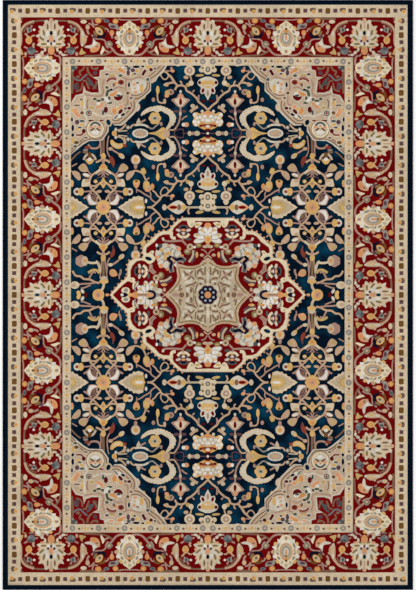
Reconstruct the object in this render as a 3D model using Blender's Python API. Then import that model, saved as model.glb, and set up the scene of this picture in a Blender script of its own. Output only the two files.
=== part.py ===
"""A machine-woven oriental area rug, lying flat on its back.

Metres, +Z up. The origin is on the floor under the rug's centre, +X runs to a long side and +Y to the head end.
The pile is one solid for each zone of the design. Under it lie the woven ground and the latex backcoat. All four
edges are serged: a yarn wrap runs round a filler and the edge of the ground.
"""

import math

import bmesh
import bpy

# Overall size
WIDTH = 1.60
LENGTH = 2.30

# Layers, from the floor up
BACKCOAT_THICKNESS = 0.0010
GROUND_THICKNESS = 0.0017
PILE_HEIGHT = 0.0077
GAP = 0.0003  # left between pieces that touch

# Serged edge
SERGING_WIDTH = 0.0090
SERGING_HEIGHT = 0.0072
SERGING_INNER_HEIGHT = 0.0050  # where the wrap meets the pile
SERGING_WALL = 0.0014
FILLER_RADIUS = 0.0017
CORNER_ROUNDING = 0.0020
ROUND_STEPS = 16

# Widths of the design's bands, from the edge inwards
SIDE_EDGE_BAND = 0.022
END_EDGE_BAND = 0.020
OUTER_GUARD = 0.049
SIDE_MAIN_BORDER = 0.163
END_MAIN_BORDER = 0.155
INNER_GUARD = 0.033

# Outlines inside the field, for the quarter with x and y above 0. They are drawn on a field of this half size and
# scaled to the real one.
DRAWN_FIELD = (53.3, 89.3)
MEDALLION = [
    (0, 29.9), (9.8, 29.9), (11.6, 29.0), (14.4, 26.2), (15.2, 24.8), (17.6, 24.8), (19.4, 24.0), (25.2, 18.6),
    (25.4, 16.6), (24.6, 15.1), (22.4, 13.9), (25.2, 14.3), (28.2, 14.2), (30.6, 13.0), (31.3, 10.6), (31.2, 7.4),
    (33.8, 6.6), (36.3, 4.3), (40.3, 0),
]
MEDALLION_STAR = [
    (0, 14.6), (2.4, 12.9), (3.4, 11.8), (5.6, 11.2), (8.3, 11.2), (9.6, 11.7), (12.4, 12.3), (12.2, 9.6),
    (11.8, 7.4), (12.2, 5.4), (13.2, 3.8), (14.6, 2.2), (17.0, 0),
]
CORNER_PIECE = [
    (15.8, 89.3), (17.4, 86.6), (19.4, 84.8), (20.2, 83.2), (22.1, 82.6), (22.1, 79.4), (25.0, 76.8), (27.3, 74.6),
    (27.8, 71.4), (31.9, 67.2), (33.6, 65.9), (36.4, 66.0), (38.6, 68.2), (38.6, 63.6), (41.0, 60.1), (46.2, 59.9),
    (48.4, 58.6), (53.3, 54.6),
]
CORNER_STAR = [
    (40.3, 89.3), (40.5, 87.8), (42.1, 87.4), (42.2, 85.0), (45.0, 84.8), (42.9, 83.6), (42.4, 78.8), (45.3, 78.8),
    (47.4, 79.5), (48.3, 81.6), (48.7, 78.4), (51.5, 77.8), (53.3, 74.9),
]

# Heights
GROUND_BOTTOM = BACKCOAT_THICKNESS + GAP
GROUND_TOP = GROUND_BOTTOM + GROUND_THICKNESS
PILE_BOTTOM = GROUND_TOP + GAP
PILE_TOP = PILE_BOTTOM + PILE_HEIGHT

# Places across the serged edge, as distances in from the rug's rim
FILLER_INSET = SERGING_WALL + GAP + FILLER_RADIUS
GROUND_INSET = FILLER_INSET + FILLER_RADIUS + GAP
FILLER_HEIGHT = BACKCOAT_THICKNESS + GAP + FILLER_RADIUS

NAVY = (0.004, 0.014, 0.034)
RED = (0.125, 0.004, 0.006)
CREAM = (0.62, 0.50, 0.36)
IVORY = (0.60, 0.52, 0.40)
SAND = (0.42, 0.35, 0.26)
JUTE = (0.42, 0.30, 0.17)
LATEX = (0.55, 0.50, 0.42)


def yarn(name, colour, roughness=0.9):
    """A dull, non-metallic material."""
    material = bpy.data.materials.new(name)
    material.use_nodes = True
    shader = material.node_tree.nodes["Principled BSDF"]
    shader.inputs["Base Color"].default_value = (*colour, 1.0)
    shader.inputs["Roughness"].default_value = roughness
    shader.inputs["Metallic"].default_value = 0.0
    return material


def link(name, data, material):
    data.materials.append(material)
    piece = bpy.data.objects.new(name, data)
    bpy.context.scene.collection.objects.link(piece)
    return piece


def plate(name, outlines, bottom, top, material):
    """A flat solid between two heights. The first outline is its rim, and any others are holes in it."""
    curve = bpy.data.curves.new(name, "CURVE")
    curve.dimensions = "2D"
    curve.fill_mode = "BOTH"
    curve.extrude = (top - bottom) / 2
    for outline in outlines:
        spline = curve.splines.new("POLY")
        spline.points.add(len(outline) - 1)
        for point, (x, y) in zip(spline.points, outline):
            point.co = (x, y, 0.0, 1.0)
        spline.use_cyclic_u = True
    piece = link(name, curve, material)
    piece.location.z = (bottom + top) / 2
    return piece


def rectangle(half_width, half_length):
    return [(half_width, -half_length), (half_width, half_length), (-half_width, half_length),
            (-half_width, -half_length)]


def area(outline):
    """Twice the signed area, above 0 when the outline runs anticlockwise."""
    following = outline[1:] + outline[:1]
    return sum(ax * by - bx * ay for (ax, ay), (bx, by) in zip(outline, following))


def inset(outline, distance):
    """The outline moved inwards by this distance, with its corners mitred."""
    turn = 1 if area(outline) > 0 else -1
    moved = []
    for i, (x, y) in enumerate(outline):
        before = outline[i - 1]
        after = outline[(i + 1) % len(outline)]
        into = math.atan2(y - before[1], x - before[0])
        out = math.atan2(after[1] - y, after[0] - x)
        half_bend = math.remainder(out - into, 2 * math.pi) / 2
        reach = distance / math.cos(half_bend)
        bisector = into + half_bend + turn * math.pi / 2
        moved.append((x + reach * math.cos(bisector), y + reach * math.sin(bisector)))
    return moved


def in_field(drawn, field):
    """Outline points scaled from the drawn field to the real one."""
    return [(x / DRAWN_FIELD[0] * field[0], y / DRAWN_FIELD[1] * field[1]) for x, y in drawn]


def four_way(quarter):
    """A whole outline from the quarter that runs from the Y axis to the X axis."""
    back = quarter[-2::-1]
    right = quarter + [(x, -y) for x, y in back]
    return right + [(-x, y) for x, y in right[-2:0:-1]]


def flipped(outline, right, up):
    return [(right * x, up * y) for x, y in outline]


def make_backing(jute, latex):
    plate("woven_ground", [rectangle(WIDTH / 2 - GROUND_INSET, LENGTH / 2 - GROUND_INSET)],
          GROUND_BOTTOM, GROUND_TOP, jute)
    inside_serging = SERGING_WIDTH + GAP
    plate("latex_backcoat", [rectangle(WIDTH / 2 - inside_serging, LENGTH / 2 - inside_serging)],
          0.0, BACKCOAT_THICKNESS, latex)


def make_band(name, outer, inner, material):
    """A rectangular ring of pile between two half sizes, with half a gap kept at each rim."""
    rims = [rectangle(outer[0] - GAP / 2, outer[1] - GAP / 2), rectangle(inner[0] + GAP / 2, inner[1] + GAP / 2)]
    plate(name, rims, PILE_BOTTOM, PILE_TOP, material)


def make_borders(navy, red, cream):
    """The four bands of pile round the field. Returns the field's half size."""
    inside_serging = SERGING_WIDTH + GAP / 2
    rim = (WIDTH / 2 - inside_serging, LENGTH / 2 - inside_serging)
    edge = (WIDTH / 2 - SIDE_EDGE_BAND, LENGTH / 2 - END_EDGE_BAND)
    guard = (edge[0] - OUTER_GUARD, edge[1] - OUTER_GUARD)
    border = (guard[0] - SIDE_MAIN_BORDER, guard[1] - END_MAIN_BORDER)
    field = (border[0] - INNER_GUARD, border[1] - INNER_GUARD)
    make_band("pile_edge_band", rim, edge, navy)
    make_band("pile_outer_guard", edge, guard, cream)
    make_band("pile_main_border", guard, border, red)
    make_band("pile_inner_guard", border, field, cream)
    return field


def make_field(field, navy, red, ivory, sand):
    """The field, its medallion and its four corner pieces."""
    medallion = four_way(in_field(MEDALLION, field))
    star = four_way(in_field(MEDALLION_STAR, field))
    corner = in_field(CORNER_PIECE, field)
    corner_star = in_field(CORNER_STAR, field)

    notched = corner[::-1]
    rim = notched + flipped(corner, -1, 1) + flipped(notched, -1, -1) + flipped(corner, 1, -1)
    plate("pile_field", [inset(rim, GAP / 2), inset(medallion, -GAP / 2)], PILE_BOTTOM, PILE_TOP, navy)
    plate("pile_medallion", [inset(medallion, GAP / 2), inset(star, -GAP / 2)], PILE_BOTTOM, PILE_TOP, red)
    plate("pile_medallion_star", [inset(star, GAP / 2)], PILE_BOTTOM, PILE_TOP, sand)

    ivory_quarter = corner + corner_star[::-1]
    red_quarter = corner_star + [field]
    for side, right, up in (("ne", 1, 1), ("nw", -1, 1), ("se", 1, -1), ("sw", -1, -1)):
        plate(f"pile_corner_{side}", [inset(flipped(ivory_quarter, right, up), GAP / 2)],
              PILE_BOTTOM, PILE_TOP, ivory)
        plate(f"pile_corner_star_{side}", [inset(flipped(red_quarter, right, up), GAP / 2)],
              PILE_BOTTOM, PILE_TOP, red)


def arc(centre, radius, start, end, steps):
    """Points of an elliptical arc in an edge's section, as (distance in from the rim, height)."""
    angles = [start + (end - start) * i / steps for i in range(steps + 1)]
    return [(centre[0] - radius[0] * math.cos(a), centre[1] + radius[1] * math.sin(a)) for a in angles]


def serging_profile():
    """The yarn wrap's section: a C that opens inwards, round the filler and the edge of the ground."""
    cavity = FILLER_RADIUS + GAP
    lip = math.asin((PILE_BOTTOM - FILLER_HEIGHT) / cavity)
    shoulder = SERGING_HEIGHT - CORNER_ROUNDING - FILLER_RADIUS
    low_corner = arc((CORNER_ROUNDING, CORNER_ROUNDING), (CORNER_ROUNDING,) * 2, -math.pi / 2, 0, ROUND_STEPS // 4)
    crown = arc((FILLER_INSET + GAP, shoulder), (FILLER_INSET + GAP, SERGING_HEIGHT - shoulder), 0, math.pi / 2,
                ROUND_STEPS // 2)
    inner_end = [(SERGING_WIDTH, SERGING_INNER_HEIGHT), (SERGING_WIDTH, PILE_BOTTOM)]
    round_filler = arc((FILLER_INSET, FILLER_HEIGHT), (cavity,) * 2, math.pi - lip, -math.pi / 2, ROUND_STEPS)
    slot_floor = [(SERGING_WIDTH, BACKCOAT_THICKNESS), (SERGING_WIDTH, 0.0)]
    return low_corner + crown + inner_end + round_filler + slot_floor


def filler_profile():
    circle = arc((FILLER_INSET, FILLER_HEIGHT), (FILLER_RADIUS,) * 2, 0, 2 * math.pi, ROUND_STEPS)
    return circle[:-1]


def make_edge_run(name, profile, turn, half_run, half_across, material):
    """A section carried along one edge. It is built along Y at +X, mitred at both ends, then turned about Z."""
    mesh = bmesh.new()
    rings = []
    for end in (-1, 1):
        ring = []
        for inward, height in profile:
            along = half_run - inward - GAP / math.sqrt(2)
            ring.append(mesh.verts.new((half_across - inward, end * along, height)))
        rings.append(ring)
        mesh.faces.new(ring)
    for i in range(len(profile)):
        mesh.faces.new((rings[0][i - 1], rings[0][i], rings[1][i], rings[1][i - 1]))
    bmesh.ops.recalc_face_normals(mesh, faces=mesh.faces)
    data = bpy.data.meshes.new(name)
    mesh.to_mesh(data)
    mesh.free()
    link(name, data, material).rotation_euler.z = turn


def make_edges(serging_yarn, filler_yarn):
    """Serging and fillers on the two long sides and the two ends."""
    edges = (
        ("right", 0.0, LENGTH / 2, WIDTH / 2),
        ("head", math.pi / 2, WIDTH / 2, LENGTH / 2),
        ("left", math.pi, LENGTH / 2, WIDTH / 2),
        ("foot", -math.pi / 2, WIDTH / 2, LENGTH / 2),
    )
    for name, turn, half_run, half_across in edges:
        make_edge_run(f"serging_{name}", serging_profile(), turn, half_run, half_across, serging_yarn)
        make_edge_run(f"edge_filler_{name}", filler_profile(), turn, half_run, half_across, filler_yarn)


def main():
    for old in list(bpy.data.objects):
        bpy.data.objects.remove(old)
    navy = yarn("navy_pile", NAVY)
    red = yarn("red_pile", RED)
    cream = yarn("cream_pile", CREAM)
    make_backing(yarn("jute_ground", JUTE), yarn("latex_backcoat", LATEX, 0.6))
    field = make_borders(navy, red, cream)
    make_field(field, navy, red, yarn("ivory_pile", IVORY), yarn("sand_pile", SAND))
    make_edges(yarn("serging_yarn", NAVY), yarn("filler_yarn", JUTE))


main()
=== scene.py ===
"""The look of the area rug: its design in tufted yarns, the wrapped edge and the woven back.

The design is drawn for one quarter of the rug, in millimetres from the rug's middle: X across, Y along.
A mark is a pair: the name of its yarn and the points of its outline. Later marks lie on earlier ones.
"""
import math

import bpy
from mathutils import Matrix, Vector, noise
from mathutils.geometry import delaunay_2d_cdt


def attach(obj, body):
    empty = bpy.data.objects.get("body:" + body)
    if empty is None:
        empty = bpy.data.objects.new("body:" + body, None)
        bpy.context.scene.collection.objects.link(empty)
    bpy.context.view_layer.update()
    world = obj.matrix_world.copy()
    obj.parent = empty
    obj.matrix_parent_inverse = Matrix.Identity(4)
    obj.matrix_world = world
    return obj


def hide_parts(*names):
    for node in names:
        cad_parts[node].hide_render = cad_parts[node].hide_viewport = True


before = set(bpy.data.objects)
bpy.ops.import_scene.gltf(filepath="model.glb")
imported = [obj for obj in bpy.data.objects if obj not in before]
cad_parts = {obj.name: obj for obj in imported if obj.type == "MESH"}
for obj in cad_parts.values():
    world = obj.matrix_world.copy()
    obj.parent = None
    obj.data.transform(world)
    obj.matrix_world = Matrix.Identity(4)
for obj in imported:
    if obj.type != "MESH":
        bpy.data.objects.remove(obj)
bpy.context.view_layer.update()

MILLIMETRE = 0.001

# ---- yarns and ways to draw with them ----
YARNS = {
    "navy": (3, 18, 34), "midnight": (2, 17, 32), "ink": (22, 16, 34), "red": (108, 4, 6),
    "maroon": (84, 20, 18), "dew": (156, 162, 172), "steel": (108, 112, 112), "fawn": (193, 168, 140),
    "crimson": (118, 6, 10), "bone": (226, 210, 176), "cream": (212, 192, 162), "ivory": (208, 198, 180),
    "white": (224, 216, 204), "sand": (188, 172, 144), "beige": (196, 178, 152), "tan": (192, 159, 129),
    "gold": (212, 171, 106), "mustard": (190, 160, 102), "peach": (214, 152, 110),
    "orange": (210, 144, 84), "pink": (170, 135, 119), "plum": (92, 66, 72), "grey": (148, 140, 130),
    "slate": (80, 84, 82), "brown": (126, 96, 76), "umber": (110, 76, 40), "olive": (132, 112, 72),
    "moss": (84, 84, 62), "rust": (134, 62, 48),
}
CURVE_STEPS = 4       # straight runs between two points of a curve
SMALL_OVAL = 5        # an oval with a smaller radius has fewer points
HALO_COARSE = 12      # a halo keeps every other point of an outline with this many


def pairs(*flat):
    """The points of x, y, x, y and so on."""
    return list(zip(flat[::2], flat[1::2]))


def smooth(points, closed=True):
    """A Catmull-Rom curve through the points."""
    count = len(points)
    curve = []
    for i in range(count if closed else count - 1):
        near = [i + k for k in (-1, 0, 1, 2)]
        near = [points[k % count if closed else min(max(k, 0), count - 1)] for k in near]
        for s in range(CURVE_STEPS):
            t = s / CURVE_STEPS
            curve.append(tuple(
                b + 0.5 * t * (c - a + t * (2 * a - 5 * b + 4 * c - d + t * (3 * b - a - 3 * c + d)))
                for a, b, c, d in zip(*near)))
    return curve if closed else curve + [tuple(points[-1])]


def beside(points, distance, closed=False):
    """The line moved to its left."""
    moved = []
    for i, (x, y) in enumerate(points):
        ax, ay = points[i - 1 if closed else max(i - 1, 0)]
        bx, by = points[(i + 1) % len(points) if closed else min(i + 1, len(points) - 1)]
        length = math.hypot(bx - ax, by - ay) or 1.0
        moved.append((x - (by - ay) / length * distance, y + (bx - ax) / length * distance))
    return moved


def twice_area(points):
    """Positive when the points run anticlockwise."""
    return sum(ax * by - bx * ay for (ax, ay), (bx, by) in zip(points, points[1:] + points[:1]))


def grown(points, distance):
    """A closed outline moved outwards."""
    return beside(points, -distance if twice_area(points) > 0 else distance, closed=True)


def curved(*flat):
    return smooth(pairs(*flat))


def stroke(width, *flat):
    line = smooth(pairs(*flat), closed=False)
    return beside(line, width / 2) + beside(line, -width / 2)[::-1]


def oval_line(x, y, rx, ry=None, turn=0):
    ry = rx if ry is None else ry
    c, s = math.cos(math.radians(turn)), math.sin(math.radians(turn))
    steps = 8 if max(rx, ry) < SMALL_OVAL else 12
    turns = [2 * math.pi * i / steps for i in range(steps)]
    around = [(rx * math.cos(a), ry * math.sin(a)) for a in turns]
    return [(x + u * c - v * s, y + u * s + v * c) for u, v in around]


def in_yarns(draw, shapes):
    """A mark for each shape. A word among the shapes sets the yarn of those after it."""
    marks, yarn = [], None
    for shape in shapes:
        if isinstance(shape, str):
            yarn = shape
        else:
            marks.append((yarn, draw(*shape)))
    return marks


def discs(*shapes):
    """Ovals. Each is x, y, one or two radii, and the turn in degrees."""
    return in_yarns(oval_line, shapes)


def stems(*shapes):
    """Smooth lines. Each is its width, then x, y, x, y and so on."""
    return in_yarns(stroke, shapes)


def blobs(*shapes):
    """Smooth outlines. Each is x, y, x, y and so on."""
    return in_yarns(curved, shapes)


def facets(*shapes):
    """Outlines with straight sides. Each is x, y, x, y and so on."""
    return in_yarns(pairs, shapes)


def rosette(colour, x, y, radius, lobes, depth, turn=0):
    """A round flower with notches between its lobes."""
    notch = (depth, depth / 4, 0, depth / 4)
    points = []
    for i in range(lobes * len(notch)):
        a = math.radians(turn) + 2 * math.pi * i / (lobes * len(notch))
        r = radius * (1 - notch[i % len(notch)])
        points.append((x + r * math.cos(a), y + r * math.sin(a)))
    return [(colour, points)]


def beads(colour, radius, every, points):
    """Round lobes at even steps along a smooth line."""
    marks, gone = [], 0.0
    line = smooth(points, closed=False)
    for (ax, ay), (bx, by) in zip(line, line[1:]):
        length = math.dist((ax, ay), (bx, by))
        while gone < length:
            t = gone / length
            marks += discs(colour, (ax + (bx - ax) * t, ay + (by - ay) * t, radius))
            gone += every
        gone -= length
    return marks


def petals(x, y, reach, long, wide, *angles):
    """White petals with grey rims, pointing away from a centre."""
    marks = []
    for angle in angles:
        u, v = x + reach * math.cos(math.radians(angle)), y + reach * math.sin(math.radians(angle))
        marks += discs("grey", (u, v, long + 2, wide + 2.5, angle), "white", (u, v, long, wide, angle))
    return marks


def place(marks, x, y, turn=0):
    """The marks turned anticlockwise by degrees and moved."""
    c, s = math.cos(math.radians(turn)), math.sin(math.radians(turn))
    return [(colour, [(x + u * c - v * s, y + u * s + v * c) for u, v in points]) for colour, points in marks]


def mirror(marks, x=None, y=None):
    """The marks' mirror image in the line at x or at y."""
    if x is None:
        return [(colour, [(u, 2 * y - v) for u, v in points]) for colour, points in marks]
    return [(colour, [(2 * x - u, v) for u, v in points]) for colour, points in marks]


def flip(marks, **line):
    """The marks and their mirror image."""
    return marks + mirror(marks, **line)


def swap(marks, dx=0, dy=0):
    """The marks mirrored in the diagonal, then moved."""
    return [(colour, [(v + dx, u + dy) for u, v in points]) for colour, points in marks]


def haloed(marks, colour, distance):
    """The marks over wider, coarser copies of themselves in another yarn."""
    halos = []
    for _, points in marks:
        halos.append((colour, grown(points[::2] if len(points) >= HALO_COARSE else points, distance)))
    return halos + marks


# ---- medallion ----
MEDALLION = pairs(
    0, 299, 98, 299, 116, 290, 144, 262, 152, 248, 176, 248, 194, 240, 252, 186, 254, 166, 250, 156,
    252, 143, 282, 142, 306, 130, 313, 106, 312, 74, 338, 66, 363, 43, 403, 0, 0, 0)
MEDALLION_STAR = pairs(
    0, 146, 24, 129, 34, 118, 56, 112, 83, 112, 96, 117, 124, 123, 122, 96, 118, 74, 122, 54, 132, 38,
    146, 22, 170, 0, 0, 0)


def diagonal_petals():
    """Ivory petals with grey rims."""
    m = []
    for x, y, rx, ry, turn in ((124, 174, 17, 14, -40), (138, 184, 15, 13, 20), (166, 186, 17, 14, 0),
                               (119, 157, 16, 12, -50), (152, 164, 24, 20, 0), (192, 160, 12, 19, 0),
                               (180, 140, 18, 16, 0), (176, 124, 18, 13, 0), (159, 117, 15, 14, 0)):
        m += discs("grey", (x, y, rx + 2.5, ry + 2.5, turn), "ivory", (x, y, rx, ry, turn))
    return m


def medallion_ground():
    """The navy rim, its beads and light lines, and the red inside."""
    outline = MEDALLION[:-4] + pairs(313, 72, 324, 59, 340, 46, 358, 26, 378, 2, 388, -8)
    inside = pairs(
        -10, 286, 100, 286, 112, 276, 130, 259, 135, 246, 139, 233, 173, 232, 187, 226, 206, 204, 236, 182,
        239, 168, 220, 156, 210, 142, 218, 122, 232, 117, 244, 128, 260, 132, 276, 128, 291, 112, 298, 94,
        298, 68, 286, 64, 288, 50, 300, 49, 312, 50, 326, 39, 344, 22, 366, 0, 376, -10, -10, -10)
    m = [("navy", MEDALLION)] + beads("peach", 4.2, 19, beside(outline[1:], 3.5))
    m += [("tan", beside(outline, 2) + [(0, -10)]), ("bone", outline + [(0, -10)])]
    return m + [("tan", grown(inside, 4.5)), ("red", grown(inside, 2.5))]


def star_cloth():
    return [("beige", MEDALLION_STAR)]


def star_ring():
    """Eight light dots round the middle."""
    turns = [math.radians(45 * i + 22.5) for i in range(8)]
    return discs("dew", *[(24 * math.cos(a), 24 * math.sin(a), 5) for a in turns])


def ring_flower():
    """The small flower in each lobe, at the origin with its stalk down."""
    m = discs("slate", (0, 19, 19, 8), "ink", (0, 17, 12, 5), "peach", (0, 6, 9, 5))
    m += flip(discs("ivory", (20, 6, 10, 5.5, 15)) + discs("slate", (12, -4, 8, 5)), x=0)
    m += stems("bone", (10, -23, -8, -14, -18, 0, -22, 14, -18, 23, -8))
    m += discs("white", (0, -5, 7, 3.5), "tan", (0, -12, 6, 4))
    return m


def lobe_side():
    """The half of the medallion's filling beside the Y axis."""
    m = discs("maroon", (26, 140, 12, 6), (76, 144, 10, 16, 20), "olive", (79, 168, 14, 12),
        "sand", (81, 170, 8, 6))
    m += stems("plum", (19, 52, 172, 54, 150, 69, 129), "sand", (8, 57, 174, 58, 154, 65, 139, 74, 128),
        "pink", (7.5, 84, 194, 94, 206, 104, 211, 136, 209))
    m += discs("gold", (42.5, 156, 5.5, 12), "orange", (42, 150, 4, 5), "tan", (23, 155, 8, 6),
        (69, 187, 13.5, 13), "sand", (69, 187, 10, 9.5), "umber", (69, 187, 5.5, 5),
        "white", (52, 186, 6.5, 5), "slate", (76, 217, 12, 5))
    m += place(ring_flower(), 95, 246)
    m += stems("pink", (6, 94, 224, 97, 216, 104, 211))
    return m


def palmette():
    """The axis flower, from its foot up, on the Y axis."""
    m = petals(0, 220, 34, 22, 9.5, 90, 52, 14, -14)
    m += petals(0, 224, 26, 17, 8, 71, 33, 0)
    m += discs("gold", (23, 252, 7, 5, 40), (43, 233, 7, 5, 20), "white", (0, 226, 15, 16),
        "grey", (13, 224, 3, 9), "peach", (2, 270, 11, 11), "orange", (2, 273, 6, 6),
        "gold", (0, 216, 14, 16), "orange", (0, 216, 8, 9), "peach", (0, 196, 8, 5))
    m += blobs("bone", (21, 279, 32, 284, 49, 280, 51, 268, 44, 260, 34, 267),
        "olive", (24, 196, 36, 202, 49, 196, 42, 184, 28, 186))
    m += discs("mustard", (40, 273, 8, 5), (36, 193, 7, 4), "sand", (10, 188, 11, 6))
    m += stems("pink", (5, 2, 158, 12, 172, 26, 177), "tan", (5, 0, 154, 10, 147, 22, 134))
    return m


def tip():
    """What the axis flower has more of on the long axis."""
    m = discs("grey", (204, 8, 22, 12), "ivory", (190, 16, 14, 10), "sand", (206, 24, 12, 8),
        "orange", (214, 40, 8, 6), "peach", (222, 0, 10, 7))
    m += stems("ink", (9, 232, 15, 218, 14, 208, 7, 205, -4), "tan", (14, 236, 0, 270, 0),
        "brown", (4, 236, 0, 280, 0), "grey", (6, 269, 52, 281, 44, 285, 29, 282, 15))
    m += discs("orange", (284, 0, 11, 12), "peach", (294, 0, 9, 7), "gold", (306, 0, 9, 9),
        "bone", (320, 17, 17, 13), "grey", (319, 18, 9, 8), "ink", (327, 0, 16, 9.5),
        "white", (334, 0, 6, 6))
    return m


def diagonal_flower():
    """The large flower on the medallion's diagonal."""
    m = diagonal_petals()
    m += discs("grey", (143, 174, 3.5, 8, 30), (174, 160, 3.5, 8, 30), (170, 132, 3.5, 8, 30),
        (130, 162, 3.5, 8, 30), (186, 149, 3.5, 8, 30), "peach", (113, 179, 9, 10), (153, 192, 7, 5),
        (103, 153, 9, 5), (197, 146, 8, 7), (182, 113, 10, 9), (158, 101, 6, 7),
        "gold", (154, 161, 16, 7, -10), (166, 148, 6.5, 13), "orange", (156, 161, 7, 4),
        "slate", (189, 188, 14, 9, -30), "ink", (193, 180, 6, 8), "gold", (181, 175, 8, 7),
        "white", (199, 193, 5, 7))
    m += stems("grey", (22, 90, 131, 106, 141, 122, 136, 136, 146),
        (20, 140, 88, 144, 110, 141, 126, 150, 136),
        "ink", (12, 92, 134, 106, 141, 120, 137, 136, 143, 152, 149),
        (11, 141, 92, 145, 110, 140, 125, 150, 135, 154, 148), "tan", (9, 129, 128, 136, 136, 144, 143))
    m += discs("slate", (94, 134, 8, 4.5, 30), (141, 94, 4.5, 8))
    m += facets("white", (113, 117, 123, 127, 133, 117, 123, 107))
    return m


def medallion():
    """The whole medallion's quarter, without its star."""
    m = medallion_ground()
    m += discs("peach", (392, 0, 7, 6), "bone", (294, 58, 11, 10), "tan", (298, 59, 4, 4))
    m += palmette()
    m += swap(palmette(), 10, 0)
    m += tip()
    m += lobe_side()
    m += swap(lobe_side(), 14, -3)
    m += stems("pink", (7.5, 102, 211, 136, 209, 166, 210, 174, 218), (7, 202, 86, 216, 100, 219, 118),
        "ivory", (9, 172, 212, 176, 223), "bone", (12, 141, 246, 142, 232, 137, 222, 125, 221))
    m += diagonal_flower()
    m += blobs("bone", (50, 292, 53, 273, 63, 262, 75, 269, 80, 292),
        (209, 170, 220, 172, 232, 162, 248, 160, 253, 145, 242, 129, 226, 121, 212, 128, 204, 142, 213,
        157))
    m += discs("tan", (62, 274, 3.5, 5), (219, 164, 4, 3), "navy", (231, 141, 14, 7.5, 20))
    return m


def scroll():
    """The scrolls that fill the star."""
    m = stems("tan", (8, 0, 137, 19, 124, 33, 113, 54, 109, 82, 109, 102, 114, 117, 117),
        (8, 116, 116, 117, 98, 113, 76, 117, 52, 128, 35, 144, 18, 164, 0),
        "olive", (5, 4, 126, 16, 120, 24, 112, 40, 109, 50, 103, 80, 102, 110, 107, 111, 90, 107, 70, 112,
        50, 124, 32, 148, 6), "brown", (6, 9, 109, 11, 94, 11, 78), (6, 11, 62, 9, 45),
        (7, 18, 78, 25, 92, 38, 94, 40, 80), (8, 16, 62, 32, 65, 40, 62), (5, 49, 96, 48, 76, 44, 66),
        (7, 60, 94, 70, 80, 82, 80, 94, 92), "olive", (6, 22, 102, 34, 100))
    m += discs("pink", (72, 78, 9, 7), "brown", (84, 80, 7, 6))
    m += stems("brown", (6, 52, 59, 64, 70, 76, 62, 82, 64), (7, 45, 51, 58, 41, 74, 38, 86, 30),
        (6, 106, 40, 109, 30, 110, 16, 100, 26), (5, 39, 46, 46, 26, 50, 6),
        "tan", (5, 92, 100, 104, 94, 103, 78, 100, 64, 86, 54))
    m += discs("pink", (56, 35, 6, 5), (126, 0, 13, 8), "brown", (65, 17, 5, 9), (80, 3, 6, 8),
        (102, 2, 10, 8), (28, 43, 5, 7))
    m += stems("tan", (5, 90, 14, 104, 12, 122, 16, 136, 10), "olive", (4, 54, 0, 58, 24, 70, 30))
    return m


def star():
    """The star in the medallion's middle."""
    m = star_cloth()
    m += facets("sand", (0, 134, 22, 116, 36, 104, 84, 102, 112, 108, 106, 72, 112, 48, 138, 16, 150, 0, 0,
        0))
    m += scroll()
    m += discs("ivory", (76, 49, 16, 6, -15), (34, 26, 5, 15, 35), (31, 78, 5, 5, 0), (78, 19, 6, 12, -20),
        (0, 72, 5, 18, 0), (0, 43, 6, 6, 0), (76, 94, 12, 5, 0), (97, 77, 4.5, 11, 0), (89, 64, 11, 4, 0),
        (23, 52, 9, 4, 0), (64, 60, 5, 4, 0), (122, 24, 5, 5, 0), (22, 109, 6, 4, 0))
    m += rosette("plum", 0, 0, 39, 8, 0.12)
    m += rosette("ink", 0, 0, 36, 8, 0.12)
    m += star_ring()
    m += discs("navy", (0, 0, 17), "orange", (0, 0, 13.5), "peach", (0, 0, 7))
    return m


# ---- field ----
TREE = 407            # the tree line, along the rug
CROSS = 341           # the cross line, across it
BAND = 629            # the cloud band's line, across it


def ring_bud():
    """A round flower on a stalk, pointing down."""
    return discs("pink", (0, 0, 19, 20), "ivory", (0, 1, 16, 17), "gold", (0, 0, 11, 12),
                 "orange", (0, 0, 5, 7), "pink", (0, -25, 7, 11))


def tulip_bud():
    """A tulip, pointing down."""
    return blobs("gold", (-13, 9, 0, 15, 13, 9, 10, -9, 0, -19, -10, -9),
                 "peach", (-10, 2, 0, 0, 10, 2, 8, -10, 0, -18, -8, -10)) + discs("umber", (0, 9, 6, 5))


def both_sides(*flat):
    """A closed outline from the half that starts and ends on the X axis."""
    edge = pairs(*flat)
    return edge + [(x, -y) for x, y in edge[-2:0:-1]]


def cross():
    """The lattice with its flowers, round the crossing of the tree line and the cross line."""
    m = flip(flip(cross_quadrant(), x=TREE), y=CROSS)
    spade_bud = blobs("gold", (0, 25, 9, 9, 19, 2, 9, -6, 0, -19, -9, -6, -19, 2, -9, 9))
    leaf = blobs("gold", (-17, -5, -8, 8, 0, 15, 8, 8, 17, -5, 8, -12, -8, -12))
    for bud_y, leaf_y, turn in ((434, 499, 0), (248, 183, 180)):
        m += place(spade_bud, TREE, bud_y, turn) + discs("pink", (TREE, bud_y, 6))
        m += place(leaf, TREE, leaf_y, turn) + discs("orange", (TREE, leaf_y, 8, 7))
    m += rosette("gold", TREE, CROSS, 29, 8, 0.16, 22.5)
    return m + discs("peach", (TREE, CROSS, 16), "pink", (TREE, CROSS, 6))


def flame():
    """A palmette lying on the cross line, its tip at +X."""
    edge = pairs(4, 38, 14, 42, 23, 45, 33, 41, 43, 42, 49, 33, 59, 33, 64, 24, 74, 22, 80, 14,
                 89, 10, 103, 0)
    outline = edge + [(x, -y) for x, y in edge[-2::-1]]
    m = [("cream", outline)]
    for colour, along, across in (("tan", 0.74, 0.7), ("sand", 0.66, 0.62)):
        m += [(colour, [(12 + x * along, y * across) for x, y in outline])]
    m += blobs("mustard", (2, 23, 20, 28, 42, 20, 56, 6, 56, -6, 42, -20, 20, -28, 2, -23))
    return m + discs("gold", (22, 0, 26, 14), "white", (20, 0, 17, 6))


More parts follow.
